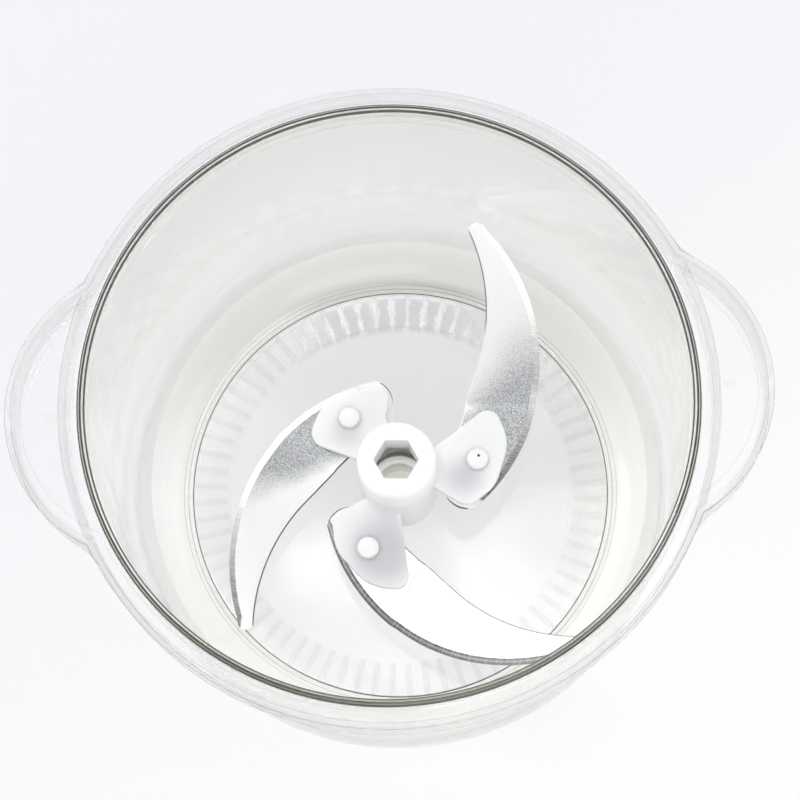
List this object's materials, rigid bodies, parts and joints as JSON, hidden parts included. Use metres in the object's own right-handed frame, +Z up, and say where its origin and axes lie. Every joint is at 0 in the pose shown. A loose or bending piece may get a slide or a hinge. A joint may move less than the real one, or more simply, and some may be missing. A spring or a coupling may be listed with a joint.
{
  "type": "chopper bowl with blade rotor",
  "caption": "Clear round chopper bowl with two hollow ear handles and a lift-out rotor of curved steel blades on a white column with a hex drive socket.",
  "frame": {"origin": "on the axis of the bowl, at the level of the table", "axes": "+Z up out of the bowl's mouth, X through the two ear handles"},
  "size_m": [0.2104, 0.1816, 0.1195],
  "materials": {
    "clear_bowl": "clear, polished",
    "clear_ring": "clear soft plastic",
    "blade_steel": "satin, ground edge",
    "white_plastic": "satin white",
    "bush_plastic": "matt white"
  },
  "bodies": {
    "bowl": {"bowl": "clear_bowl", "anti_slip_ring": "clear_ring"},
    "bush": {"hub_bush": "bush_plastic"},
    "rotor": {"blade_hub": "white_plastic", "blade_top": "blade_steel", "clamp_plate_top": "white_plastic", "blade_rivet_top": "white_plastic", "blade_middle": "blade_steel", "clamp_plate_middle": "white_plastic", "blade_rivet_middle": "white_plastic", "blade_bottom": "blade_steel", "clamp_plate_bottom": "white_plastic", "blade_rivet_bottom": "white_plastic"}
  },
  "joints": [
    {"name": "rotor_lift", "type": "slide", "parent": "bowl", "child": "bush", "axis": [0, 0, 1], "range_m": [0, 0.125]},
    {"name": "rotor_spin", "type": "hinge", "parent": "bush", "child": "rotor", "pos_m": [0, 0, 0.03], "axis": [0, 0, 1], "continuous": true}
  ]
}
